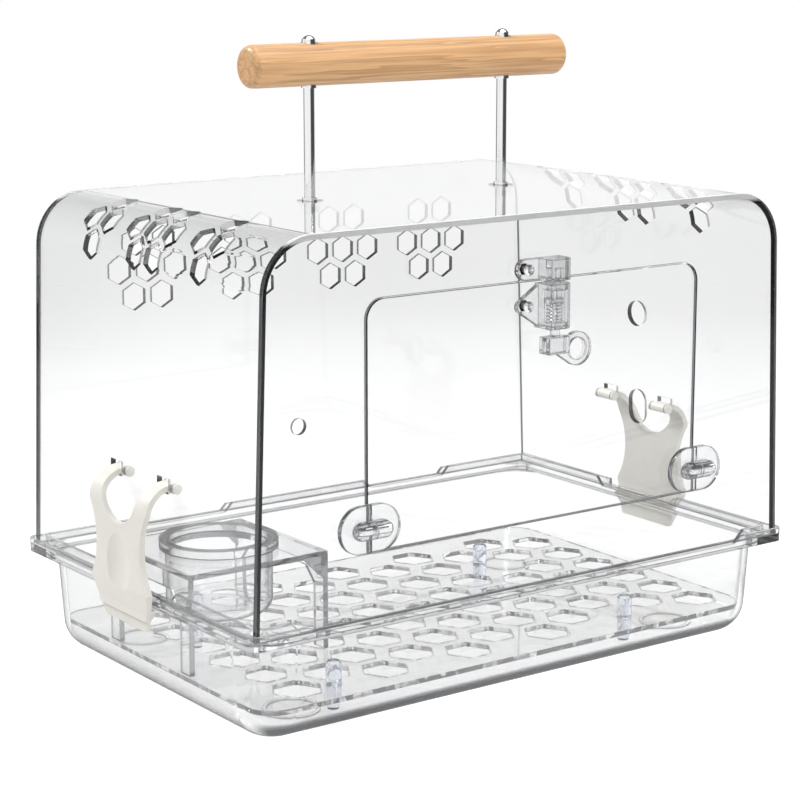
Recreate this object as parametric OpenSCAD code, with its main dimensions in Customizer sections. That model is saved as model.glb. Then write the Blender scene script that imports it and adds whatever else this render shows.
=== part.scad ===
// Bird travel carrier: a clear arched cover with a drop-down door stands in a
// clear tray, held down by two cream side clips and carried by a wooden bar.
// Millimetres. X to the right, Y to the back, Z up; the tray stands on Z = 0.

/* [Which piece] */
// piece to draw
// facets of round pieces
$fn = 64;

/* [Clear cover] */
// cover width at its bottom edge
cover_w = 340; // [300:1:400]
// cover depth, front face to back face
cover_d = 224; // [200:1:280]
// cover height, bottom edge to top
cover_h = 191; // [175:1:240]
// how far each side leans in over the height
side_lean = 7; // [0:0.5:12]
// outer radius of the two long top bends
bend_r = 28; // [20:1:34]
// clear sheet thickness
sheet_t = 3; // [2.4:0.1:4]

/* [Air holes] */
// hexagon air hole, across flats
air_af = 13.5; // [10:0.1:15]
// distance between neighbouring air holes
air_pitch = 17.5; // [16.5:0.1:20]
// middle row of the back panel's air holes, above the cover's bottom
air_back_z = 145; // [120:1:160]
// distance between the back panel's air hole groups
air_group_gap = 64; // [56:1:72]
// centre of the small air hole groups on each bend, from the middle
air_side_y = 53.5; // [48:0.5:70]

/* [Side openings] */
// round bottle hole in the right side
bottle_hole_d = 15; // [10:0.5:18]
// bottle hole height above the cover's bottom
bottle_hole_z = 109; // [95:1:125]
// upright slot in the right side, width
tube_slot_w = 14; // [8:0.5:16]
// upright slot in the right side, height
tube_slot_h = 20.5; // [18:0.5:26]
// upright slot's centre height above the cover's bottom
tube_slot_z = 53.6; // [50:0.5:66]
// round hole in the back panel
back_hole_d = 10; // [6:0.5:14]
// back hole height above the cover's bottom
back_hole_z = 43; // [30:1:60]

/* [Door] */
// width of the front panel left beside the door opening
door_side = 63.6; // [52:0.2:76]
// height of the front panel left above the door opening
door_above = 33.2; // [28:0.2:45]
// height of the front panel left below the door opening
door_z = 33.2; // [28:0.2:45]
// corner radius of the door opening
door_corner_r = 10.4; // [6:0.2:16]
// radius of the opening's two lower corners, behind the hinges
door_foot_r = 1.6; // [1.4:0.1:3]
// gap all round between door and opening
door_gap = 0.8; // [0.5:0.1:1.2]

/* [Hinges] */
// width of the two hinge leaves together
leaf_w = 35; // [30:0.5:42]
// height of a hinge leaf
leaf_h = 24; // [20:0.5:26]
// thickness of a hinge leaf
leaf_t = 3; // [2:0.1:3.4]
// length of the hinge knuckle
knuckle_l = 22; // [18:0.5:26]
// diameter of the hinge knuckle
knuckle_d = 9; // [8:0.2:10]
// hinge pin diameter
pin_d = 3; // [2:0.1:4]
// radial clearance of the hinge pin and of the bolt
run_clear = 0.05; // [0.02:0.01:0.09]

/* [Latch] */
// width of the latch block
latch_w = 15; // [13:0.5:18]
// how far the latch block stands out
latch_out = 13.5; // [12.5:0.5:16]
// height of the keeper on the cover
keeper_h = 10.7; // [9:0.1:14]
// height of the housing on the door
housing_h = 22.5; // [20:0.5:28]
// bolt rod diameter
bolt_d = 5; // [4:0.2:6]
// travel of the bolt into the keeper
bolt_in = 4; // [3:0.5:5]
// outer radius of the finger ring
ring_r = 8.7; // [7:0.1:10]
// hole radius of the finger ring
ring_hole_r = 5.6; // [4:0.1:6.5]
// thickness of the finger ring
ring_t = 3; // [2:0.1:4]

/* [Handle] */
// wooden bar length
bar_l = 202; // [160:1:240]
// wooden bar diameter
bar_d = 22; // [18:0.5:28]
// height of the bar's axis above the cover's top
bar_rise = 69.5; // [55:0.5:90]
// distance between the two rods
rod_gap = 126; // [100:1:140]
// rod diameter
rod_d = 6; // [5:0.5:8]

/* [Tray] */
// height of the ledge the cover stands on
seat_z = 57; // [50:1:60]
// gap between the cover and the tray's lip, left and right
lip_gap_x = 2; // [1:0.1:4]
// gap between the cover and the tray's lip, front and back
lip_gap_y = 0.5; // [0.3:0.1:3]
// lip thickness
lip_t = 2; // [1.5:0.1:3]
// lip height above the ledge
lip_h = 3.4; // [2:0.1:5]
// ledge thickness
ledge_t = 4; // [3:0.1:5]
// tray wall thickness
wall_t = 3; // [2:0.1:4]
// tray floor thickness
floor_t = 3; // [2:0.1:4]
// radius of the tray's rounded lower edge
tray_edge_r = 18; // [8:0.5:20]
// plan radius of the tray's corners
tray_corner_r = 24; // [22:0.5:32]
// how far the tray walls lean in over their height
tray_lean = 3.4; // [0:0.2:5]
// height of the locating rib inside the cover
rib_h = 5; // [3:0.5:8]

/* [Floor grid] */
// how far the grid's ends stay inside the tray's inner walls
grid_in_x = 5; // [4.4:0.1:12]
// how far the grid's long edges stay inside the tray's inner walls
grid_in_y = 3.5; // [3.4:0.1:10]
// floor grid thickness
grid_t = 2.5; // [2:0.1:4]
// height of the grid's underside above the tray's underside
grid_z = 15; // [12:0.5:17]
// hexagon opening of the grid, across flats
grid_af = 22.5; // [18:0.5:24]
// distance between grid columns
grid_col = 26.6; // [25.5:0.1:30]
// distance between openings in a column
grid_row = 28.7; // [26:0.1:32]
// sideways shift of the hexagon pattern
grid_shift = 7; // [4:0.5:9]
// grid peg diameter at its head
peg_d = 8; // [6:0.2:9]
// grid peg height above the tray's floor
peg_h = 26.5; // [22:0.5:30]

/* [Food cup] */
// cup body diameter
cup_d = 54; // [44:0.5:56]
// cup lip diameter
cup_lip_d = 60.4; // [58:0.2:66]
// cup height
cup_h = 40; // [30:0.5:44]
// cup wall thickness
cup_t = 2; // [1.5:0.1:3]
// cup stand width
stand_w = 81.4; // [74:0.2:84]
// cup stand depth
stand_d = 80.6; // [74:0.2:90]
// top of the cup stand above the tray's underside
stand_top = 70; // [64:0.5:78]
// gap between the cup stand and the left clip's pivots
stand_gap = 0.8; // [0.5:0.1:6]
// cup stand's centre, back from the middle
stand_y = 6.7; // [-10:0.1:20]

/* [Side clips] */
// width of a clip
clip_w = 57; // [50:0.5:62]
// clip thickness
clip_t = 3; // [2.4:0.1:3.4]
// how far a clip arm is wide
arm_w = 10; // [7:0.5:11]
// outer radius of a clip's arched arm
arch_r = 16.5; // [14:0.5:18]
// height of the clip's pivot above the cover's bottom
clip_z = 57.3; // [50:0.1:62]
// pivot barrel diameter
barrel_d = 5.4; // [4:0.1:6]

/* [Hidden] */
eps = 0.01;
lap = 0.2;
seat_gap = 0.1;
lean_a = atan(side_lean / cover_h);
bend_cz = cover_h - bend_r;
bend_cx = cover_w / 2 - (bend_r + bend_cz * sin(lean_a)) / cos(lean_a);
front_y = -cover_d / 2;
back_y = cover_d / 2;
cover_top = seat_z + cover_h;
air_r = air_af / sqrt(3);
air_row = air_pitch * sqrt(3) / 2;
air_turn = air_row / bend_r * 180 / PI;
bend_mid = lean_a + (90 - lean_a) / 2;
door_w = cover_w - 2 * door_side;
door_h = cover_h - door_z - door_above;

clear_sheet = [0.93, 0.95, 0.96, 0.4];
clear_moulded = [0.9, 0.93, 0.95, 0.4];
peg_blue = [0.72, 0.78, 0.95, 0.6];
cream = [0.93, 0.91, 0.86];
wood = [0.86, 0.68, 0.46];
steel = [0.75, 0.76, 0.78];

// outline of the cover seen from the front, drawn inward by the sheet's part
module cover_outline(inset = 0) {
    r = bend_r - inset;
    half = cover_w / 2 - inset / cos(lean_a);
    tx = bend_cx + r * cos(lean_a);
    tz = bend_cz + r * sin(lean_a);
    polygon([[-half, 0], [half, 0], [tx, tz], [bend_cx, bend_cz], [bend_cx, bend_cz + r],
        [-bend_cx, bend_cz + r], [-bend_cx, bend_cz], [-tx, tz]]);
    for (s = [-1, 1]) translate([s * bend_cx, bend_cz]) circle(r);
}

// stands a drawing up in the XZ plane, from y_from towards the front
module upright(y_from, depth) {
    translate([0, y_from, seat_z]) rotate([90, 0, 0]) linear_extrude(depth) children();
}

// rounded rectangle about the origin
module round_rect(w, d, r) {
    square([w - 2 * r, d], center = true);
    square([w, d - 2 * r], center = true);
    for (sx = [-1, 1], sy = [-1, 1]) translate([sx * (w / 2 - r), sy * (d / 2 - r)]) circle(r);
}

// outline of the door opening about the origin, its lower corners nearly square
module door_outline(w, h, r, foot) {
    translate([-w / 2, foot - h / 2]) square([w, h - foot - r]);
    translate([r - w / 2, h / 2 - r]) square([w - 2 * r, r]);
    translate([foot - w / 2, -h / 2]) square([w - 2 * foot, foot]);
    for (s = [-1, 1]) {
        translate([s * (w / 2 - r), h / 2 - r]) circle(r);
        translate([s * (w / 2 - foot), foot - h / 2]) circle(foot);
    }
}

// places a tool on a side's outer face, pointing outwards; its X runs up or down the side
module on_side(s, y, z) {
    translate([s * (cover_w / 2 - z * tan(lean_a)), y, seat_z + z])
        rotate([0, s * (90 - lean_a), 0]) children();
}

// hexagon group: rows of n, with a middle row of mid holes
function group(mid) = [for (row = [-1:1]) for (i = [0:mid - abs(row) - 1])
    [(i - (mid - abs(row) - 1) / 2) * air_pitch, row]];

module bend_holes(s, y, mid) {
    for (p = group(mid))
        translate([s * bend_cx, y + p[0], seat_z + bend_cz])
            rotate([0, s * (90 - bend_mid - p[1] * air_turn), 0])
                translate([0, 0, bend_r - 2 * sheet_t]) cylinder(h = 3 * sheet_t, r = air_r, $fn = 6);
}

clip_slot_w = arm_w + 1;
clip_slot_low = 2.2;
clip_slot_high = 5.6;
clip_y = clip_w / 2 - arm_w / 2;

module cover_shell() color(clear_sheet) difference() {
    upright(back_y - sheet_t, cover_d - 2 * sheet_t) difference() {
        cover_outline();
        difference() {
            cover_outline(sheet_t);
            translate([-cover_w / 2, -2 * eps]) square([cover_w, eps]);
        }
        translate([-cover_w / 2 + 2 * sheet_t, -eps]) square([cover_w - 4 * sheet_t, sheet_t]);
    }
    for (s = [-1, 1]) {
        bend_holes(s, 0, 3);
        bend_holes(s, air_side_y, 2);
        bend_holes(s, -air_side_y, 2);
        for (t = [-1, 1]) on_side(s, t * clip_y, clip_z + (clip_slot_high - clip_slot_low) / 2)
            cube([clip_slot_high + clip_slot_low, clip_slot_w, 4 * sheet_t], center = true);
        translate([s * rod_gap / 2, 0, cover_top - 2 * sheet_t])
            cylinder(h = 3 * sheet_t, d = rod_d + 2 * lap);
    }
    on_side(1, 0, bottle_hole_z) cylinder(h = 4 * sheet_t, d = bottle_hole_d, center = true);
    on_side(1, 0, tube_slot_z) {
        cube([tube_slot_h - tube_slot_w, tube_slot_w, 4 * sheet_t], center = true);
        for (t = [-1, 1]) translate([t * (tube_slot_h - tube_slot_w) / 2, 0, 0])
            cylinder(h = 4 * sheet_t, d = tube_slot_w, center = true);
    }
}

door_mid = door_z + door_h / 2;
screw_x = -10.5;
keeper_low = door_z + door_h + 0.5;
housing_top = door_z + door_h - door_gap - 0.5;
keeper_mid = keeper_low + keeper_h / 2;
housing_mid = housing_top - housing_h / 2;
screw_d = 3;

module front_panel() color(clear_sheet) upright(front_y + sheet_t, sheet_t) difference() {
    cover_outline();
    translate([0, door_mid]) door_outline(door_w, door_h, door_corner_r, door_foot_r);
    translate([screw_x, keeper_mid]) circle(d = screw_d + 2 * lap);
}

module back_panel() color(clear_sheet) upright(back_y, sheet_t) difference() {
    cover_outline();
    translate([0, back_hole_z]) circle(d = back_hole_d);
    for (k = [-1.5:1:1.5], p = group(3))
        translate([k * air_group_gap + p[0], air_back_z + p[1] * air_row])
            rotate(30) circle(r = air_r, $fn = 6);
}

module door_panel() color(clear_sheet) upright(front_y + sheet_t, sheet_t) difference() {
    translate([0, door_mid])
        door_outline(door_w - 2 * door_gap, door_h - 2 * door_gap,
            door_corner_r - door_gap, door_foot_r - door_gap);
    translate([screw_x, housing_mid]) circle(d = screw_d + 2 * lap);
}

// hinges: the pin's axis lies in front of the door so the door's foot turns clear
hinge_x = door_w / 2 - door_gap / 2;
hinge_z = seat_z + door_z + door_gap + 0.2 + leaf_h / 2;
hinge_y = front_y - 0.3 - knuckle_d / 2;
hinge_split = 0.25;

module half_side(s) translate([s > 0 ? hinge_split : -leaf_w, -leaf_w]) square([leaf_w, 2 * leaf_w]);

// one leaf with its half of the knuckle; side +1 is the half towards +X
module hinge_leaf(x, side) color(clear_moulded) translate([x, 0, 0]) difference() {
    union() {
        translate([0, front_y - seat_gap, hinge_z]) rotate([90, 0, 0]) linear_extrude(leaf_t) intersection() {
            round_rect(leaf_w, leaf_h, leaf_h / 2 - eps);
            if (side > 0) translate([door_gap / 2, -leaf_h]) square([leaf_w, 2 * leaf_h]);
            if (side < 0) translate([-door_gap / 2 - leaf_w, -leaf_h]) square([leaf_w, 2 * leaf_h]);
        }
        translate([side * hinge_split, hinge_y, hinge_z]) rotate([0, side * 90, 0])
            cylinder(h = knuckle_l / 2 - knuckle_d / 2 - hinge_split, d = knuckle_d);
        translate([side * (knuckle_l - knuckle_d) / 2, hinge_y, hinge_z]) sphere(d = knuckle_d);
    }
    translate([0, hinge_y, hinge_z]) rotate([0, side * 90, 0])
        translate([0, 0, -hinge_split])
            cylinder(h = pin_l / 2 + 0.3 + hinge_split, r = pin_d / 2 + run_clear);
}

pin_l = knuckle_l - 4;

module hinge_pin(x) color(steel) translate([x - pin_l / 2, hinge_y, hinge_z])
    rotate([0, 90, 0]) cylinder(h = pin_l, d = pin_d);

module hinge_left_frame_leaf() hinge_leaf(-hinge_x, -1);
module hinge_left_door_leaf() hinge_leaf(-hinge_x, 1);
module hinge_right_frame_leaf() hinge_leaf(hinge_x, 1);
module hinge_right_door_leaf() hinge_leaf(hinge_x, -1);
module hinge_left_pin() hinge_pin(-hinge_x);
module hinge_right_pin() hinge_pin(hinge_x);

// latch: the bolt runs upright in the housing on the door, into the keeper above it
bolt_x = 3.5;
bolt_y = front_y - 7.2;
bolt_gap = 0.4;
latch_left = bolt_x - latch_w / 2;
latch_round = 6;
lobe_t = 3;
bolt_tip = seat_z + keeper_low - bolt_gap;
chamber_r = 4.9;
chamber_low = seat_z + housing_top - housing_h + 3;
chamber_high = seat_z + housing_top - 3;
collar_t = 2.4;
collar_z = chamber_high - bolt_in - collar_t - 0.5;

// plan of the latch block, its outer right edge rounded like a barrel
module latch_plan() {
    translate([latch_left, front_y - latch_out]) difference() {
        square([latch_w, latch_out - seat_gap]);
        translate([latch_w - latch_round, -eps]) square([latch_round + eps, latch_round + eps]);
    }
    translate([latch_left + latch_w - latch_round, front_y - latch_out + latch_round]) circle(latch_round);
}

module latch_keeper() color(clear_moulded) difference() {
    union() {
        translate([0, 0, seat_z + keeper_low]) linear_extrude(keeper_h) latch_plan();
        upright(front_y - seat_gap, lobe_t) {
            translate([screw_x - 1.2, keeper_mid]) circle(d = keeper_h);
            translate([screw_x - 1.2, keeper_low]) square([latch_left - screw_x + 2, keeper_h]);
        }
    }
    translate([bolt_x, bolt_y, seat_z + keeper_low - eps])
        cylinder(h = bolt_in + 2, r = bolt_d / 2 + run_clear);
    translate([screw_x, front_y + eps, seat_z + keeper_mid]) rotate([90, 0, 0])
        cylinder(h = 2 * lobe_t, d = screw_d + 2 * lap);
}

module latch_housing() color(clear_moulded) difference() {
    union() {
        translate([0, 0, seat_z + housing_top - housing_h]) linear_extrude(housing_h) latch_plan();
        upright(front_y - seat_gap, lobe_t) {
            polygon([[latch_left + 1, housing_top - 1], [latch_left, housing_top - 1],
                [screw_x - 5.2, housing_mid + 2.6], [screw_x - 5.2, housing_mid - 2.6],
                [latch_left, housing_top - housing_h + 1], [latch_left + 1, housing_top - housing_h + 1]]);
            translate([screw_x - 3.2, housing_mid]) circle(3.3);
        }
    }
    translate([bolt_x, bolt_y, chamber_low]) cylinder(h = chamber_high - chamber_low, r = chamber_r);
    translate([bolt_x, bolt_y, seat_z + housing_top - housing_h - 1])
        cylinder(h = housing_h + 2, r = bolt_d / 2 + run_clear);
    translate([screw_x, front_y + eps, seat_z + housing_mid]) rotate([90, 0, 0])
        cylinder(h = 2 * lobe_t, d = screw_d + 2 * lap);
}

// cross-slotted screw, its head on the lobe and its nut behind the panel
module latch_screw(z) color(steel) translate([screw_x, front_y, seat_z + z]) rotate([90, 0, 0]) difference() {
    head = lobe_t + seat_gap;
    union() {
        translate([0, 0, -sheet_t - 2.4]) cylinder(h = sheet_t + 2.4 + head + 0.5, d = screw_d);
        translate([0, 0, head]) cylinder(h = 1.2, d = 5.6);
        translate([0, 0, head + 1.2]) cylinder(h = 0.6, d1 = 5.6, d2 = 3.6);
        translate([0, 0, -sheet_t - 2]) cylinder(h = 2, d = 5.5 * 2 / sqrt(3), $fn = 6);
    }
    for (a = [0, 90]) rotate(a) translate([0, 0, head + 1.5]) cube([3.4, 0.8, 1.2], center = true);
}
module keeper_screw() latch_screw(keeper_mid);
module housing_screw() latch_screw(housing_mid);

slide_w = 13;
slide_d = 8;
slide_top = seat_z + housing_top - housing_h - bolt_in - 0.5;
slide_h = 8.5;
ring_x = 17.6;
ring_z = slide_top - 7.4;

module latch_bolt() color(clear_moulded) difference() {
    union() {
        translate([bolt_x, bolt_y, slide_top - 1]) cylinder(h = bolt_tip - slide_top + 1, d = bolt_d);
        translate([bolt_x, bolt_y, collar_z]) cylinder(h = collar_t, r = chamber_r - 0.5);
        translate([bolt_x - slide_w / 2, bolt_y - slide_d / 2, slide_top - slide_h])
            cube([slide_w, slide_d, slide_h]);
        translate([0, bolt_y + ring_t / 2, 0]) rotate([90, 0, 0]) linear_extrude(ring_t) {
            translate([ring_x, ring_z]) circle(ring_r);
            polygon([[bolt_x, slide_top], [bolt_x + slide_w / 2, slide_top],
                [ring_x + ring_r / 2, ring_z + ring_r * sin(60)], [ring_x, ring_z],
                [ring_x - ring_r / 2, ring_z - ring_r * sin(60)], [bolt_x, slide_top - slide_h]]);
        }
    }
    translate([ring_x, bolt_y + 2 * ring_t, ring_z]) rotate([90, 0, 0])
        cylinder(h = 4 * ring_t, r = ring_hole_r);
}

spring_wire_r = 0.45;
spring_turns = 5;
spring_r = 3.75;

// wound spring: one unbroken tube that follows a helix
module latch_spring() {
    rings = 8 * spring_turns;
    sides = 6;
    low = chamber_low + spring_wire_r + eps;
    rise = collar_z - chamber_low - 2 * spring_wire_r - 2 * eps;
    pts = [for (i = [0:rings], j = [0:sides - 1]) let (a = i * 45, b = j * 60,
        r = spring_r + spring_wire_r * cos(b))
        [bolt_x + r * cos(a), bolt_y + r * sin(a), low + rise * i / rings + spring_wire_r * sin(b)]];
    skin = [for (i = [0:rings - 1], j = [0:sides - 1]) let (k = (j + 1) % sides)
        [i * sides + j, i * sides + k, (i + 1) * sides + k, (i + 1) * sides + j]];
    first = [for (j = [0:sides - 1]) sides - 1 - j];
    last = [for (j = [0:sides - 1]) rings * sides + j];
    color(steel) polyhedron(points = pts, faces = concat(skin, [first], [last]));
}

// handle
bar_z = cover_top + bar_rise;
bar_end_r = 3.6;
cap_flat = 0.6;
cap_recess_d = rod_d + 3;
collar_d = rod_d + 2.4;
collar_h = 1.5;
cap_d = rod_d + 1.4;
cap_rim_d = rod_d + 2;
cap_rim_h = 1.2;
cap_h = 2.6;
cap_rise = 0.5;
base_nut_af = rod_d + 4;
base_nut_h = 4.8;
base_washer_d = rod_d + 8;
base_washer_t = 0.8;
rod_foot = cover_top - sheet_t - 6.4;
rod_top = bar_z + bar_d / 2 - cap_flat;

module handle_bar() color(wood) difference() {
    translate([0, 0, bar_z]) rotate([0, 90, 0]) {
        cylinder(h = bar_l - 2 * bar_end_r, d = bar_d, center = true);
        cylinder(h = bar_l, d = bar_d - 2 * bar_end_r, center = true);
        for (s = [-1, 1]) translate([0, 0, s * (bar_l / 2 - bar_end_r)]) rotate_extrude()
            intersection() {
                translate([bar_d / 2 - bar_end_r, 0]) circle(bar_end_r);
                translate([0, -bar_end_r]) square([bar_d, 2 * bar_end_r]);
            }
    }
    for (s = [-1, 1]) translate([s * rod_gap / 2, 0, 0]) {
        translate([0, 0, bar_z - bar_d]) cylinder(h = 2 * bar_d, d = rod_d + lap);
        translate([0, 0, rod_top]) cylinder(h = bar_d, d = cap_recess_d);
        translate([0, 0, bar_z - bar_d / 2 - 1]) cylinder(h = cap_flat + 1, d = cap_recess_d);
    }
}

module handle_rod(s) color(steel) translate([s * rod_gap / 2, 0, rod_foot])
    cylinder(h = rod_top + 2 - rod_foot, d = rod_d);
module handle_rod_left() handle_rod(-1);
module handle_rod_right() handle_rod(1);

// domed nuts on the rods above the bar
module handle_cap_nuts() color(steel) for (s = [-1, 1])
    translate([s * rod_gap / 2, 0, rod_top]) difference() {
        union() {
            cylinder(h = cap_rim_h, d = cap_rim_d);
            cylinder(h = cap_h, d = cap_d);
            intersection() {
                translate([0, 0, cap_rise]) sphere(r = cap_d / 2 + cap_rise / 2);
                cylinder(h = cap_d, d = cap_d);
            }
        }
        translate([0, 0, -eps]) cylinder(h = 2.1, d = rod_d + lap);
    }

// thin collars where the rods meet the cover and the bar
module handle_collars() color(steel) for (s = [-1, 1]) translate([s * rod_gap / 2, 0, 0])
    for (z = [cover_top, bar_z - bar_d / 2 + cap_flat - collar_h]) translate([0, 0, z]) difference() {
        cylinder(h = collar_h, d = collar_d);
        translate([0, 0, -eps]) cylinder(h = 2 * collar_h, d = rod_d + lap);
    }

// nuts under the cover's top
module handle_base_nuts() color(steel) for (s = [-1, 1])
    translate([s * rod_gap / 2, 0, cover_top - sheet_t]) difference() {
        union() {
            translate([0, 0, -base_washer_t - lap]) cylinder(h = base_washer_t + lap, d = base_washer_d);
            translate([0, 0, -base_washer_t - base_nut_h])
                cylinder(h = base_nut_h, d = base_nut_af * 2 / sqrt(3), $fn = 6);
        }
        translate([0, 0, -2 * base_nut_h]) cylinder(h = 3 * base_nut_h, d = rod_d + lap);
    }

// tray
ledge_z = seat_z - ledge_t;
lip_w = cover_w + 2 * lip_gap_x + 2 * lip_t;
lip_d = cover_d + 2 * lip_gap_y + 2 * lip_t;
wall_w = cover_w - 4;
wall_d = cover_d - 7;
tray_a = atan(tray_lean / ledge_z);
rib_w = cover_w - 2 * sheet_t - 1.6;
rib_d = cover_d - 2 * sheet_t - 1;
rib_t = 2;
clip_notch = clip_w + 1;
foot_x = cover_w / 2 - 45;
foot_y = cover_d / 2 - 40;
foot_r = 14.5;
foot_wall = 2;
foot_h = 1;
ramp_x = cover_w / 2 - 27;
ramp_r = 7;
back_gap_x = cover_w / 4 - 8.5;
back_gap_half = 26.5;
grid_w = wall_w - 2 * wall_t - 2 * grid_in_x;
grid_d = wall_d - 2 * wall_t - 2 * grid_in_y;

// section of the tray's wall from the corner's turning centre outwards
module tray_section(inset, low) {
    top_x = tray_corner_r - inset;
    r = tray_edge_r - inset;
    cx = top_x + ((low + r - ledge_z) * sin(tray_a) - r) / cos(tray_a);
    polygon([[0, low], [cx, low], [cx, low + r], [cx + r * cos(tray_a), low + r - r * sin(tray_a)],
        [top_x, ledge_z], [top_x, seat_z], [0, seat_z]]);
    translate([cx, low + r]) circle(r);
}

// a solid tray body grown from that section
module tray_body(inset, low) {
    hx = wall_w / 2 - tray_corner_r;
    hy = wall_d / 2 - tray_corner_r;
    for (q = [0:3]) translate([(q == 0 || q == 3 ? 1 : -1) * hx, (q < 2 ? 1 : -1) * hy, 0])
        rotate(q * 90) rotate_extrude(angle = 90) intersection() {
            tray_section(inset, low);
            translate([0, -1]) square([tray_corner_r + 1, seat_z + 2]);
        }
    for (q = [0:3]) rotate(q * 90) translate([q % 2 == 0 ? hx : hy, 0, 0])
        translate([0, q % 2 == 0 ? hy : hx, 0]) rotate([90, 0, 0])
            linear_extrude(2 * (q % 2 == 0 ? hy : hx)) intersection() {
                tray_section(inset, low);
                translate([0, -1]) square([tray_corner_r + 1, seat_z + 2]);
            }
    translate([-hx, -hy, low]) cube([2 * hx, 2 * hy, seat_z - low]);
}

module tray() color(clear_moulded) difference() {
    union() {
        difference() {
            tray_body(0, 0);
            tray_body(wall_t, floor_t);
            translate([0, 0, ledge_z]) linear_extrude(2 * ledge_t)
                round_rect(wall_w + 1, wall_d + 1, tray_corner_r);
        }
        translate([0, 0, ledge_z]) linear_extrude(ledge_t) difference() {
            round_rect(lip_w, lip_d, 5);
            round_rect(rib_w - 2 * rib_t, rib_d - 2 * rib_t, 14);
        }
        translate([0, 0, ledge_z]) linear_extrude(ledge_t + lip_h) difference() {
            round_rect(lip_w, lip_d, 5);
            round_rect(lip_w - 2 * lip_t, lip_d - 2 * lip_t, 3);
        }
        translate([0, 0, seat_z - 1]) linear_extrude(rib_h + 1) difference() {
            round_rect(rib_w, rib_d, 6);
            round_rect(rib_w - 2 * rib_t, rib_d - 2 * rib_t, 4);
        }
        for (sx = [-1, 1], sy = [-1, 1]) translate([sx * foot_x, sy * foot_y, floor_t - eps])
            difference() {
                cylinder(h = foot_h, r = foot_r);
                translate([0, 0, -foot_h]) cylinder(h = 3 * foot_h, r = foot_r - foot_wall);
            }
    }
    // front lip lowered between two curved ramps
    translate([0, front_y + 0.2, 0]) rotate([90, 0, 0]) linear_extrude(lip_d) difference() {
        translate([-ramp_x, seat_z]) square([2 * ramp_x, 2 * rib_h]);
        for (s = [-1, 1]) translate([s * ramp_x, seat_z + lip_h - ramp_r]) circle(ramp_r);
    }
    // lip left out beside the clips
    for (s = [-1, 1]) translate([s * lip_w / 2, 0, seat_z + rib_h])
        cube([2 * (lip_gap_x + lip_t), clip_notch, 2 * rib_h], center = true);
    // gaps of the locating rib beside the clips, at the back and at the front
    for (s = [-1, 1]) translate([s * rib_w / 2, 0, 0]) rotate([0, 90, 0]) rotate([0, 0, 90])
        linear_extrude(12, center = true) rib_gap(clip_notch / 2);
    for (s = [-1, 1]) translate([s * back_gap_x, rib_d / 2, 0]) rotate([90, 0, 0])
        linear_extrude(12, center = true) rib_gap(back_gap_half);
    translate([0, -rib_d / 2, 0]) rotate([90, 0, 0]) linear_extrude(4, center = true) rib_gap(ramp_x);
}

// side view of a gap in the rib, its ends sloping down
module rib_gap(half) polygon([[-half, seat_z], [half, seat_z], [half + rib_h + 2, seat_z + rib_h + 2],
    [-half - rib_h - 2, seat_z + rib_h + 2]]);

// floor grid
grid_top = grid_z + grid_t;
peg_in_left = 53;
peg_in_right = 75;
peg_in_front = 19.5;
peg_in_back = 56;
peg_x = [peg_in_left - grid_w / 2, grid_w / 2 - peg_in_right];
peg_y = [peg_in_front - grid_d / 2, grid_d / 2 - peg_in_back];
peg_chamfer = 1;
grid_corner_r = 14;
grid_r = grid_af / sqrt(3);

module grid_floor() color(clear_moulded) translate([0, 0, grid_z]) linear_extrude(grid_t) difference() {
    round_rect(grid_w, grid_d, grid_corner_r);
    for (k = [-5:5], j = [0:5]) {
        x = grid_shift + k * grid_col;
        y = (j - 2.5) * grid_row + (k % 2 == 0 ? 1 : -1) * grid_row / 4;
        near = min([for (px = peg_x, py = peg_y) norm([x - px, y - py])]);
        if (near > grid_r + peg_d / 2) translate([x, y]) circle(r = grid_r, $fn = 6);
    }
    for (px = peg_x, py = peg_y) translate([px, py]) circle(d = peg_d - peg_chamfer + lap);
}

// clear bluish pegs: the grid's legs, reaching up through it
module grid_pegs() color(peg_blue) for (px = peg_x, py = peg_y) translate([px, py, floor_t]) {
    cylinder(h = grid_z - floor_t, d1 = peg_d - 2 * peg_chamfer, d2 = peg_d);
    translate([0, 0, grid_z - floor_t]) cylinder(h = grid_t, d = peg_d - peg_chamfer);
    translate([0, 0, grid_top - floor_t]) cylinder(h = peg_h - (grid_top - floor_t) - peg_chamfer, d = peg_d);
    translate([0, 0, peg_h - peg_chamfer])
        cylinder(h = peg_chamfer, d1 = peg_d, d2 = peg_d - 2 * peg_chamfer);
}

// cup stand: a square plate on two side panels cut out to legs
leg_w = 9;
stand_t = 3;
leg_cut = 8;
gusset = 11;
pivot_x = cover_w / 2 - clip_z * tan(lean_a) - sheet_t / cos(lean_a) - barrel_d / 2 - 0.3;
stand_x = pivot_x - barrel_d / 2 - stand_gap - stand_w / 2;

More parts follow.
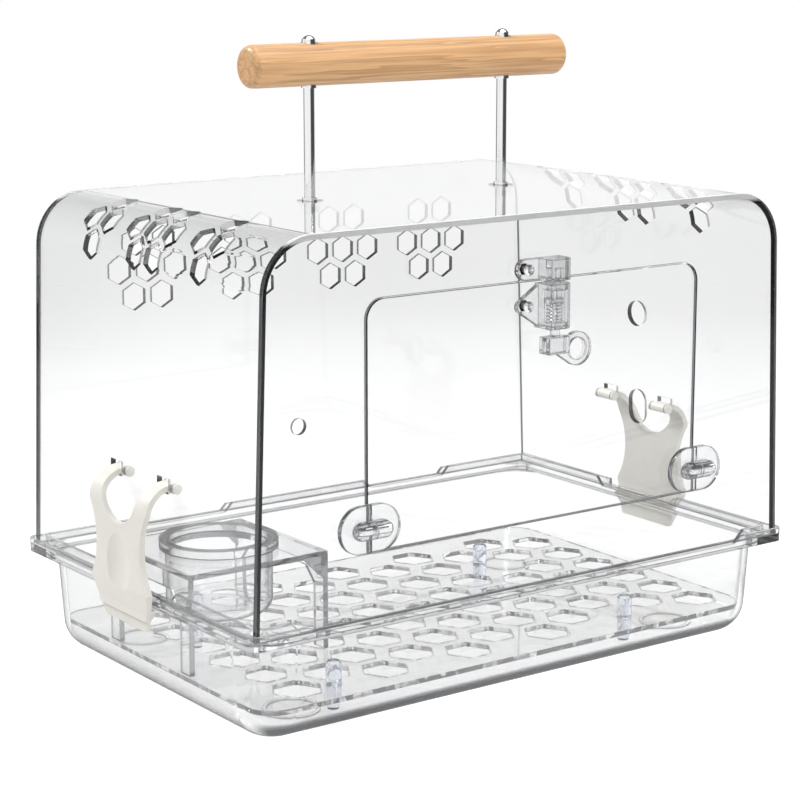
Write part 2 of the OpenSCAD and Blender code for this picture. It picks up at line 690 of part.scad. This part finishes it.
module cup_stand() color(clear_sheet) translate([-stand_x, stand_y, 0]) {
    translate([0, 0, stand_top - stand_t]) linear_extrude(stand_t) difference() {
        square([stand_w, stand_d], center = true);
        translate([cup_x + stand_x, cup_y - stand_y]) circle(d = cup_d + 0.8);
    }
    for (s = [-1, 1]) translate([s * (stand_w / 2 - stand_t / 2), 0, 0])
        rotate([90, 0, 90]) linear_extrude(stand_t, center = true) difference() {
            translate([-stand_d / 2, grid_top]) square([stand_d, stand_top - grid_top - stand_t]);
            polygon([[-stand_d / 2 + leg_w, grid_top - 1], [stand_d / 2 - leg_w, grid_top - 1],
                [stand_d / 2 - leg_w, stand_top - stand_t - 2 * leg_cut],
                [stand_d / 2 - leg_w - leg_cut, stand_top - stand_t - leg_cut],
                [-stand_d / 2 + leg_w + leg_cut, stand_top - stand_t - leg_cut],
                [-stand_d / 2 + leg_w, stand_top - stand_t - 2 * leg_cut]]);
        }
    for (t = [-1, 1]) translate([stand_w / 2 - stand_t, t * (stand_d / 2 - stand_t / 2), stand_top - stand_t])
        rotate([90, 0, 0]) linear_extrude(stand_t, center = true)
            polygon([[0, 0], [-gusset, 0], [0, -gusset]]);
}

cup_x = -stand_x + 1.5;
cup_y = stand_y + 1.3;
cup_low = stand_top + 4.5 - cup_h;
cup_edge_r = 8;

module cup_section(r, low, edge) {
    square([r - edge, cup_h - low]);
    translate([0, edge]) square([r, cup_h - low - edge]);
    translate([r - edge, edge]) intersection() {
        circle(edge);
        translate([0, -edge]) square([edge, edge]);
    }
}

module food_cup() color(clear_moulded) translate([cup_x, cup_y, cup_low]) rotate_extrude() difference() {
    union() {
        cup_section(cup_d / 2, 0, cup_edge_r);
        translate([0, cup_h - 4.5]) square([cup_lip_d / 2, 4.5]);
    }
    translate([0, 2.5]) cup_section(cup_d / 2 - cup_t, 1, cup_edge_r - cup_t);
}

// side clips: two arched arms run through the cover's slots to barrels inside
pivot_z = seat_z + clip_z;
arch_x = pivot_x + 2.6;
arch_top = pivot_z + barrel_d / 2 - 0.3;
arch_z = arch_top - arch_r;
plate_x = arch_x + arch_r;
bend_z = seat_z + 4;
clip_low = seat_z - 16.5;
toe_in = 4;
hook_top = ledge_z - 0.4;
hook_x = lip_w / 2 + 0.3;

// side view of a clip, X outwards
module clip_side() {
    translate([arch_x, arch_z]) intersection() {
        difference() {
            circle(arch_r);
            circle(arch_r - clip_t);
        }
        square(arch_r + 1);
    }
    translate([pivot_x, arch_top - clip_t]) square([arch_x - pivot_x, clip_t]);
    polygon([[plate_x - clip_t, arch_z], [plate_x, arch_z], [plate_x, bend_z],
        [plate_x - toe_in, clip_low], [plate_x - toe_in - clip_t + 1, clip_low],
        [plate_x - clip_t - 0.5, bend_z - 2]]);
    polygon([[hook_x, hook_top], [plate_x - clip_t + 1, hook_top], [plate_x - clip_t + 1, hook_top - 6],
        [hook_x + 1.5, hook_top - 6], [hook_x, hook_top - 4]]);
}

// outline of a clip seen from its outer side, Y across and Z up
module clip_face() {
    half = clip_w / 2;
    difference() {
        polygon([[-half, arch_top + 1], [half, arch_top + 1], [half, bend_z + 2], [half - 0.5, bend_z - 1],
            [21, clip_low + 1], [20, clip_low - eps], [-20, clip_low - eps], [-21, clip_low + 1],
            [0.5 - half, bend_z - 1], [-half, bend_z + 2]]);
        for (t = [-1, 1]) translate([t * (half + 29.5), seat_z + 24.5]) circle(36);
        translate([0, seat_z + 36.5 + half - arm_w]) circle(half - arm_w);
        translate([arm_w - half, seat_z + 36.5 + half - arm_w]) square([2 * (half - arm_w), 60]);
    }
}

// depth of the finger dish and the cutter's two radii for its height and width
dish_deep = 1.4;
dish_tall = 86;
dish_wide = 47;
clip_dish = 0;

module clip_body() difference() {
    union() {
        intersection() {
            translate([0, clip_w, 0]) rotate([90, 0, 0]) linear_extrude(2 * clip_w) clip_side();
            rotate([90, 0, 90]) linear_extrude(cover_w) clip_face();
        }
        for (t = [-1, 1]) translate([pivot_x, t * clip_y, pivot_z]) rotate([90, 0, 0]) difference() {
            cylinder(h = clip_slot_w + 4, d = barrel_d, center = true);
            for (k = [-1, 1]) translate([0, 0, k * (clip_slot_w / 2 + 0.4)]) rotate_extrude()
                translate([barrel_d / 2 - 0.5, -0.4]) square([1, 0.8]);
        }
    }
    // finger dish: a shallow oval left by a ring-shaped cutter
    translate([plate_x - dish_deep + dish_tall, clip_dish, seat_z + 15.5]) rotate([90, 0, 0])
        rotate([0, 0, 160]) rotate_extrude(angle = 40) intersection() {
            translate([dish_tall - dish_wide, 0]) circle(dish_wide);
            translate([dish_tall - 4, -dish_wide]) square([6, 2 * dish_wide]);
        }
}

module clip_left() color(cream) mirror([1, 0, 0]) clip_body();
module clip_right() color(cream) clip_body();

tray();
cover_shell();
front_panel();
back_panel();
handle_bar();
handle_rod_left();
handle_rod_right();
handle_cap_nuts();
handle_collars();
handle_base_nuts();
hinge_left_frame_leaf();
hinge_right_frame_leaf();
hinge_left_pin();
hinge_right_pin();
latch_keeper();
keeper_screw();
door_panel();
hinge_left_door_leaf();
hinge_right_door_leaf();
latch_housing();
housing_screw();
latch_bolt();
latch_spring();
clip_left();
clip_right();
grid_floor();
grid_pegs();
cup_stand();
food_cup();
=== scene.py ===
import bmesh
import bpy
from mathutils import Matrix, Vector


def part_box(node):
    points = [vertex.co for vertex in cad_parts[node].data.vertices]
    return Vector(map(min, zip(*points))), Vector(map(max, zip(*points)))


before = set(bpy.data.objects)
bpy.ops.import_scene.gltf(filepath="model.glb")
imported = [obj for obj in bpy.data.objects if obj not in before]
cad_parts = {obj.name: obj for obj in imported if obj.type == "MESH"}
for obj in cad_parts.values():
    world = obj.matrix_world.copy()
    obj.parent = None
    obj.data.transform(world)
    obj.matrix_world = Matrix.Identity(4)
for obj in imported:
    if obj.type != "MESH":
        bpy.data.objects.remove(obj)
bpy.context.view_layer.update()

scene = bpy.context.scene
scene.view_settings.view_transform = "Standard"

# Many clear walls stand one behind another, so light may pass a good number of them.
clear_walls = 40
scene.cycles.max_bounces = clear_walls
scene.cycles.transmission_bounces = clear_walls
scene.cycles.transparent_max_bounces = clear_walls
scene.cycles.glossy_bounces = 24
scene.cycles.diffuse_bounces = 3
scene.cycles.caustics_reflective = False
scene.cycles.caustics_refractive = False


# The camera stands to the left of the door, a little above the carrier, with a long lens,
# as the photograph was taken.
camera = bpy.data.objects.new("camera", bpy.data.cameras.new("camera"))
camera.data.lens = 103.56
camera.data.sensor_width = 36
camera.data.clip_start = 0.05
camera.location = (-0.7224, -0.9890, 0.3903)
looking = Vector((0.5745, 0.7925, -0.2046))
camera.rotation_euler = looking.to_track_quat("-Z", "Y").to_euler()
scene.collection.objects.link(camera)
scene.camera = camera


# The room: a white sweep under a soft ceiling. To the eye it is white all round. Clear plastic
# and plated steel also see its dim ceiling and its dark cards, which draw their edges.
class Wire:
    """One socket of a finish, so that sums are written as on paper."""

    def __init__(self, finish, socket):
        self.finish = finish
        self.socket = socket

    def sum(self, kind, *others):
        values = dict(enumerate((self,) + others))
        return self.finish.put("ShaderNodeMath", {"operation": kind}, values)

    def sum_after(self, kind, first):
        return self.finish.put("ShaderNodeMath", {"operation": kind}, {0: first, 1: self})

    def __add__(self, other):
        return self.sum("ADD", other)

    def __sub__(self, other):
        return self.sum("SUBTRACT", other)

    def __mul__(self, other):
        return self.sum("MULTIPLY", other)

    def __truediv__(self, other):
        return self.sum("DIVIDE", other)

    def __pow__(self, other):
        return self.sum("POWER", other)

    def __rsub__(self, other):
        return self.sum_after("SUBTRACT", other)

    def __rtruediv__(self, other):
        return self.sum_after("DIVIDE", other)

    def __rpow__(self, other):
        return self.sum_after("POWER", other)

    __radd__ = __add__
    __rmul__ = __mul__

    def size(self):
        return self.sum("ABSOLUTE")

    def most(self, other):
        return self.sum("MAXIMUM", other)

    def least(self, other):
        return self.sum("MINIMUM", other)

    def step(self, low, high, first=0.0, last=1.0):
        return self.finish.put("ShaderNodeMapRange", {"interpolation_type": "SMOOTHSTEP"}, {
            "Value": self, "From Min": low, "From Max": high, "To Min": first, "To Max": last})

    def part(self, name):
        return Wire(self.finish, self.socket.node.outputs[name])


class Finish:
    """One material, or the room's own light, put together node by node."""

    def __init__(self, name, world=None):
        self.owner = world or bpy.data.materials.new(name)
        self.glow_kind = "ShaderNodeBackground" if world else "ShaderNodeEmission"
        self.end_kind = "ShaderNodeOutputWorld" if world else "ShaderNodeOutputMaterial"
        self.owner.use_nodes = True
        self.tree = self.owner.node_tree
        self.tree.nodes.clear()

    def put(self, kind, settings=None, sockets=None):
        node = self.tree.nodes.new(kind)
        for name, value in (settings or {}).items():
            setattr(node, name, value)
        for name, value in (sockets or {}).items():
            if isinstance(value, Wire):
                self.tree.links.new(value.socket, node.inputs[name])
            else:
                node.inputs[name].default_value = value
        return Wire(self, node.outputs[0]) if node.outputs else None

    def place(self):
        return self.put("ShaderNodeTexCoord").part("Object")

    def split(self, vector):
        return self.put("ShaderNodeSeparateXYZ", None, {0: vector})

    def scaled(self, where, scale, turn=(0, 0, 0)):
        return self.put("ShaderNodeMapping", None, {
            "Vector": where, "Scale": scale, "Rotation": turn})

    def noise(self, where, scale, detail=2.0, rough=0.5):
        return self.put("ShaderNodeTexNoise", None, {
            "Vector": where, "Scale": scale, "Detail": detail, "Roughness": rough})

    def tint(self, share, first, last):
        mixed = self.put("ShaderNodeMix", {"data_type": "RGBA"}, {0: share, 6: first, 7: last})
        return mixed.part(2)

    def bump(self, height, strength, distance):
        return self.put("ShaderNodeBump", None, {
            "Height": height, "Strength": strength, "Distance": distance})

    def matt(self, colour):
        return self.put("ShaderNodeBsdfDiffuse", None, {"Color": colour})

    def glow(self, colour, strength=1.0):
        return self.put(self.glow_kind, None, {"Color": colour, "Strength": strength})

    def blend(self, share, first, last):
        return self.put("ShaderNodeMixShader", None, {0: share, 1: first, 2: last})

    def surface(self, shader, **others):
        self.put(self.end_kind, None, {"Surface": shader, **others})

    def dress(self, *nodes):
        for name in nodes:
            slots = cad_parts[name].data.materials
            slots.clear()
            slots.append(self.owner)


white = (1, 1, 1, 1)
card_grey = (0.07, 0.07, 0.075, 1)
ceiling_grey = (0.16, 0.165, 0.17, 1)
front_card_bearing = -0.96
back_card_bearing = 1.75
room_light = 0.26


def card_shares(at):
    """How much of a dark card stands in a direction: one to the front, a weaker one behind."""
    bearing = at.part("Y").sum("ARCTAN2", at.part("X"))
    front = (bearing - front_card_bearing).sum("COSINE").step(0.55, 0.82)
    back = (bearing - back_card_bearing).sum("COSINE").step(0.86, 0.95, 0.0, 0.8)
    return front.most(back)


studio = bpy.data.worlds.new("studio")
scene.world = studio
room = Finish("studio", studio)
heading = room.split(room.put("ShaderNodeTexCoord").part("Generated"))
height = heading.part("Z")
ceiling = room.tint(height.step(0.12, 0.62), white, ceiling_grey)
overhead = room.tint(height.step(0.86, 0.93), ceiling, white)
cards = card_shares(heading) * height.step(0.3, 0.7, 1.0, 0.0)
mirrored = room.tint(cards, overhead, card_grey)
ray = room.put("ShaderNodeLightPath")
plain = room.glow(white)
backdrop = room.blend(ray.part("Is Glossy Ray"), plain, room.glow(mirrored))
backdrop = room.blend(ray.part("Is Transmission Ray"), backdrop, room.glow(overhead))
backdrop = room.blend(ray.part("Is Camera Ray"), backdrop, plain)
lighting = ray.part("Diffuse Depth").least(1.0).most(ray.part("Is Shadow Ray"))
room.surface(room.blend(lighting, backdrop, room.glow(white, room_light)))


# The lamps: a wide soft one overhead, one far off, high up and behind to the left, that models
# the clips' finger dishes, and a weak one in front.
def soft_lamp(name, place, aim, wide, deep, power):
    lamp = bpy.data.objects.new(name, bpy.data.lights.new(name, "AREA"))
    lamp.data.shape = "RECTANGLE"
    lamp.data.size = wide
    lamp.data.size_y = deep
    lamp.data.energy = power
    lamp.location = place
    lamp.rotation_euler = (Vector(aim) - Vector(place)).to_track_quat("-Z", "Y").to_euler()
    scene.collection.objects.link(lamp)


soft_lamp("ceiling_lamp", (0.1, -0.2, 1.6), aim=(0, 0, 0.1), wide=1.4, deep=1.2, power=15)
soft_lamp("left_lamp", (-2.9, 3.6, 3.4), aim=(0, 0, 0.15), wide=0.9, deep=0.9, power=195)
soft_lamp("front_lamp", (0.2, -1.9, 0.9), aim=(0, 0, 0.15), wide=0.7, deep=0.7, power=14)


# The floor: pale paper that keeps the carrier's shadow and fades to white farther out. Mirrors
# find the dark cards on it, at half strength near the carrier and in full farther off.
floor_reach = 30
floor_shape = bmesh.new()
bmesh.ops.create_grid(floor_shape, x_segments=1, y_segments=1, size=floor_reach)
floor_mesh = bpy.data.meshes.new("floor")
floor_shape.to_mesh(floor_mesh)
floor_shape.free()
floor = bpy.data.objects.new("floor", floor_mesh)
scene.collection.objects.link(floor)

paper = Finish("floor_paper")
paper_grey = (0.70, 0.70, 0.70, 1)
paper_glow = 0.41
paper_at = paper.split(paper.place())
paper_far = (paper_at.part("X") ** 2.0 + paper_at.part("Y") ** 2.0) ** 0.5
paper_ray = paper.put("ShaderNodeLightPath")
through = paper_ray.part("Is Transmission Ray")
mirror = paper_ray.part("Is Glossy Ray") * (1.0 - through)
unscattered = 1.0 - paper_ray.part("Diffuse Depth").least(1.0)
straight = paper_ray.part("Is Camera Ray").most(through).most(mirror) * unscattered
sheet = paper.matt(paper_grey)
sheet_lit = paper.put("ShaderNodeAddShader", None, {0: sheet, 1: paper.glow(white, paper_glow)})
sheet_seen = paper.blend(straight, sheet, sheet_lit)
sweep = paper.blend(straight * paper_far.step(0.7, 1.3), sheet_seen, paper.glow(white))
cards_near = paper_far.step(0.2, 0.45, 0.0, 0.5)
cards_far = paper_far.step(1.12, 1.32, 0.0, 0.5)
paper_cards = mirror * straight * card_shares(paper_at) * (cards_near + cards_far)
paper.surface(paper.blend(paper_cards, sweep, paper.glow(card_grey)))
floor_mesh.materials.append(paper.owner)


# The tray: one injection moulding in clear plastic, with a rounded lower edge, a ledge for the
# cover and a lip round it that is lower at the front. Its outlines and where it turns under are
# painted with dark shade, most of all along the front, as a painted reflection of a dark card.
# Painted shade: the dark matt grey that is mixed over clear plastic at outlines, corners and
# rims.
painted_shade_grey = (0.16, 0.165, 0.17, 1)
# Painted light: a pale matt for rims that lie in the ceiling's light.
painted_light_pale = (0.86, 0.865, 0.87, 1)
clear_through = (0.995, 0.995, 0.995, 1)
edge_tint = (0.0, 0.02, 0.04, 1)


def clear_plastic(name, face, rough, loss, outline_shade=0.0, corner_shade=None, rim=None, rim_grey_and_shade=None):
    """Clear plastic. Painted shade, a dark matt grey, darkens it by outline_shade where a wall
    turns away, and by corner_shade, a share and a width, along sharp corners. rim gives the
    shares of rims that are greyed, painted dark and painted light."""
    finish = Finish(name)
    where = finish.place()
    smear = finish.noise(finish.scaled(where, (9, 9, 3)), 1.0, 3.0)
    smeared = tuple(0.985 * part for part in face[:3]) + (1,)
    colour = finish.tint(smear.step(0.3, 0.7), face, smeared)
    gloss = smear.step(0.35, 0.75, rough * 0.4, rough * 1.6)
    sides = finish.put("ShaderNodeNewGeometry")
    inside = sides.part("Backfacing")
    normal = finish.split(finish.put("ShaderNodeTexCoord").part("Normal"))
    slant = finish.put("ShaderNodeLayerWeight", None, {"Blend": 0.5}).part("Facing")
    below_top = normal.part("Z").step(0.4, 0.8, 1.0, 0.0)
    # Painted shade on outlines, where a wall turns away and does not look up.
    dark = slant.step(0.45, 0.95) * below_top * (1.0 - inside) * outline_shade
    if corner_shade:
        share, width = corner_shade
        # Painted shade along sharp corners: a thin dark line of the given width.
        rounded = finish.put("ShaderNodeBevel", {"samples": 4}, {"Radius": width})
        flat = finish.put("ShaderNodeVectorMath", {"operation": "DOT_PRODUCT"}, {
            0: rounded, 1: sides.part("Normal")}).part("Value")
        dark = dark.most(flat.step(0.80, 0.99, 1.0, 0.0) * share)
    painted_light_share = None
    if rim:
        greyed_and_shaded, dark, painted_light_share = rim(finish, where, normal, inside, dark)
        # Rims take the rim colour: painted shade, and on sawn sheet also the sawn rim's own grey.
        colour = finish.tint(greyed_and_shaded, colour, rim_grey_and_shade)
        gloss = gloss + greyed_and_shaded * 0.03
    skin = finish.put("ShaderNodeBsdfPrincipled", None, {
        "Base Color": colour, "Roughness": gloss, "IOR": 1.49, "Transmission Weight": 1.0})
    skin = finish.blend(dark, skin, finish.matt(painted_shade_grey))
    # Painted light: the pale matt is mixed in on rims lit from above.
    if painted_light_share:
        skin = finish.blend(painted_light_share, skin, finish.matt(painted_light_pale))
    # Lamps and scattered light go straight through, as they do through thin clear walls.
    open_way = finish.put("ShaderNodeBsdfTransparent", None, {"Color": clear_through})
    light = finish.put("ShaderNodeLightPath")
    passing = light.part("Is Shadow Ray").most(light.part("Diffuse Depth").least(1.0))
    bulk = finish.put("ShaderNodeVolumeAbsorption", None, {"Color": edge_tint, "Density": loss})
    finish.surface(finish.blend(passing, skin, open_way), Volume=bulk)
    return finish


def turned_edge(finish, where, normal, inside, dark):
    """The lower edge, from where the wall leans to where the bottom lies flat, in painted shade.
    """
    under = normal.part("Z") * -1.0
    level = (1.0 - under * under).most(0.0001) ** 0.5
    ahead = (normal.part("Y") * -1.0 / level).step(0.3, 0.95)
    # Painted shade: the lower rounding is tinted grey.
    greyed_and_shaded = under.step(0.1, 0.75) * under.step(0.985, 0.999, 1.0, 0.0) * (1.0 - inside)
    # Painted shade and reflection: a dark band where the edge turns under, darkest at the front.
    turned_shade = under.step(0.45, 0.62) * under.step(0.975, 0.995, 1.0, 0.0)
    return greyed_and_shaded, dark.most(turned_shade * (0.08 + ahead * 0.75)), None


tray_plastic = clear_plastic(
    "clear_tray", (0.935, 0.937, 0.94, 1), rough=0.004, loss=6.0, outline_shade=0.8,
    corner_shade=(0.85, 0.0014), rim=turned_edge, rim_grey_and_shade=(0.66, 0.665, 0.67, 1))
tray_plastic.dress("tray")


# The floor grid: a thin clear moulding with hexagon openings, carried by its four pegs. Its
# outer edge and the openings' walls show short lengths of painted shade between clear ones.
grid_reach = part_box("grid_floor")[1]
edge_from, edge_to = 0.0015, 0.0005


def lattice_rims(finish, where, normal, inside, dark):
    """Painted shade on walls that stand up: those of the openings, and the outer edge more
    strongly.
    """
    walls = normal.part("Z").size().step(0.35, 0.75, 1.0, 0.0)
    lengths = finish.noise(where, 190, 1.0).step(0.47, 0.53)
    at = finish.split(where)
    short = at.part("X").size().step(grid_reach[0] - edge_from, grid_reach[0] - edge_to)
    long = at.part("Y").size().step(grid_reach[1] - edge_from, grid_reach[1] - edge_to)
    # Painted shade: dark on the walls' inner sides, and darker along the grid's outer edge.
    painted_wall_shade = (inside * 0.45).most(short.most(long) * 0.85)
    return walls, (dark * (0.35 + lengths * 0.65)).most(walls * lengths * painted_wall_shade), None


grid_plastic = clear_plastic(
    "clear_grid", white, rough=0.004, loss=0.5,
    corner_shade=(0.8, 0.0015), rim=lattice_rims, rim_grey_and_shade=(0.93, 0.93, 0.94, 1))
grid_plastic.dress("grid_floor")


# The grid's pegs: four legs of clear plastic with a blue cast, each turned with a taper below,
# pushed up through the grid. They stand on the tray's floor.
# The pegs' outlines take a little painted shade.
peg_plastic = clear_plastic(
    "clear_blue_peg", (0.86, 0.89, 0.98, 1), rough=0.02, loss=9.0, outline_shade=0.3)
peg_plastic.dress("grid_pegs")


# The cup stand: a square plate with a round hole for the cup, glued on two side panels that
# are cut out to legs, all sawn from clear sheet. The sawn rims that look to the front or the
# back are greyer than the polished faces, partly the sawn rim's own grey and partly painted
# shade.
cover_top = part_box("cover_shell")[1][2]
top_rim_from, top_rim_to = 0.0055, 0.0028


def sawn_rims(from_flat, to_flat, first, last, inside_share):
    """Rims are picked by how squarely a face looks to the front or back, and greyed: partly the
        sawn rim's own grey, partly painted shade, darker where seen from inside. Along the
        cover's top they are painted lighter and pale instead, as painted light from the ceiling."""
    def rims(finish, where, normal, inside, dark):
        sawn = normal.part("Y").size().step(from_flat, to_flat, first, last)
        # Painted light: along the cover's top the rims are lighter and take the pale matt.
        top = finish.split(where).part("Z").step(cover_top - top_rim_from, cover_top - top_rim_to)
        greyed_and_shaded = sawn * (1.0 - top * 0.85)
        return greyed_and_shaded, dark.most(greyed_and_shaded * inside * inside_share), sawn * top * 0.62
    return rims


square_rims = sawn_rims(0.5, 0.85, 0.0, 1.0, inside_share=0.6)
# Painted shade also darkens the stand's outlines and sharp corners.
stand_sheet = clear_plastic(
    "clear_stand_sheet", (0.99, 0.992, 0.995, 1), rough=0.003, loss=9.0, outline_shade=0.4,
    corner_shade=(0.5, 0.0007), rim=square_rims, rim_grey_and_shade=(0.72, 0.73, 0.74, 1))
stand_sheet.dress("cup_stand")


# The food cup: moulded in clear plastic, a touch softer in gloss than sheet. It hangs in the
# stand by its lip, and painted shade draws dark outlines along its walls and sharp corners.
moulded_plastic = clear_plastic(
    "clear_moulded", (0.975, 0.978, 0.98, 1), rough=0.004, loss=20.0, outline_shade=0.85,
    corner_shade=(0.9, 0.0011))
moulded_plastic.dress("food_cup")


# The cover: one clear acrylic sheet, sawn and drilled flat and bent warm over two formers.
# Light that runs along inside the sheet is lost in it, and its front and back rims are painted
# dark grey as shade for that loss; along the top they are painted pale.
bent_sheet = clear_plastic(
    "clear_bent_sheet", (0.98, 0.982, 0.985, 1), rough=0.003, loss=9.0, outline_shade=0.3,
    rim=square_rims, rim_grey_and_shade=(0.35, 0.36, 0.37, 1))
bent_sheet.dress("cover_shell")


# The two ends and the door: flat clear sheet, sawn to the arch's outline and glued into the
# bent sheet. The door is sawn out of the front end. Here the rims are what looks up, down or
# aside: grey, partly their own sawn grey and partly painted shade, darker where seen from inside.
outline_rims = sawn_rims(0.35, 0.75, 1.0, 0.0, inside_share=0.9)
end_sheet = clear_plastic(
    "clear_end_sheet", (0.965, 0.966, 0.968, 1), rough=0.003, loss=9.0, outline_shade=0.3,
    rim=outline_rims, rim_grey_and_shade=(0.42, 0.43, 0.44, 1))
end_sheet.dress("front_panel", "back_panel", "door_panel")


# The hinges: two pairs of moulded clear leaves, one leaf on the front end and one on the door,
# each pair on a plated steel pin. All the metal of the carrier has this plating.
moulded_plastic.dress("hinge_left_frame_leaf", "hinge_right_frame_leaf",
                      "hinge_left_door_leaf", "hinge_right_door_leaf")

steel = Finish("plated_steel")
drawn = steel.noise(steel.scaled(steel.place(), (2600, 2600, 30)), 1.0, 2.0)
steel.surface(steel.put("ShaderNodeBsdfPrincipled", None, {
    "Base Color": steel.tint(drawn.step(0.3, 0.7), (0.84, 0.84, 0.85, 1), (0.92, 0.92, 0.925, 1)),
    "Metallic": 1.0, "Roughness": drawn.step(0.3, 0.7, 0.05, 0.12),
    "Normal": steel.bump(drawn, 0.03, 0.0001)}))
steel.dress("hinge_left_pin", "hinge_right_pin")


# The latch: a moulded clear keeper on the cover and a housing on the door, each held by a
# steel screw. The moulded bolt with its finger ring is pushed home by a wound steel spring.
moulded_plastic.dress("latch_keeper", "latch_housing", "latch_bolt")
steel.dress("keeper_screw", "housing_screw", "latch_spring")


# The side clips: cream moulded plastic, satin, with the mould's fine grain. They turn on
# barrels in the cover's slots, and the finger dish in each is darkened with painted shade.
cream = Finish("cream_plastic")
cream_at = cream.place()
cloud = cream.noise(cream_at, 60, 3.0)
grain = cream.noise(cream_at, 2600, 2.0)
cream_pale = cream.tint(cloud.step(0.3, 0.7), (0.82, 0.80, 0.735, 1), (0.86, 0.84, 0.775, 1))
cream_shade = (0.48, 0.46, 0.41, 1)
# Painted shade: the cream darkens where the surface is closed in, as in the finger dishes.
openness = cream.put("ShaderNodeAmbientOcclusion", {"samples": 8, "only_local": True}, {
    "Distance": 0.02}).part("AO")
cream.surface(cream.put("ShaderNodeBsdfPrincipled", None, {
    "Base Color": cream.tint(openness.step(0.80, 0.99), cream_shade, cream_pale),
    "Roughness": cloud.step(0.3, 0.7, 0.38, 0.48),
    "Normal": cream.bump(grain, 0.15, 0.0001)}))
cream.dress("clip_left", "clip_right")


# The handle's metal: two drawn steel rods with domed nuts above the bar, thin collars on the
# cover and nuts under its top, all plated.
steel.dress("handle_rod_left", "handle_rod_right", "handle_cap_nuts", "handle_collars",
            "handle_base_nuts")


# The handle bar: a turned stick of pale beech with long straight grain, rounded ends and thin
# oil, drilled for the two rods and held by their nuts.
beech = Finish("beech_bar")
beech_at = beech.place()
growth = beech.noise(beech.scaled(beech_at, (2.2, 60, 60)), 1.0, 4.0, 0.6)
fibre = beech.noise(beech.scaled(beech_at, (14, 900, 900)), 1.0, 3.0, 0.7)
figure = beech.noise(beech.scaled(beech_at, (5, 22, 22), (0, 0, 0.06)), 1.0, 2.0)
band = (growth * 9.0 + figure * 2.0).sum("FRACT").step(0.0, 0.8)
wood = beech.tint(band, (0.64, 0.355, 0.165, 1), (0.83, 0.50, 0.245, 1))
pore_brown = (0.45, 0.25, 0.115, 1)
beech.surface(beech.put("ShaderNodeBsdfPrincipled", None, {
    "Base Color": beech.tint(fibre.step(0.45, 0.7, 0.0, 0.55), wood, pore_brown),
    "Roughness": band.step(0.0, 1.0, 0.46, 0.36),
    "Normal": beech.bump(fibre, 0.12, 0.0002)}))
beech.dress("handle_bar")
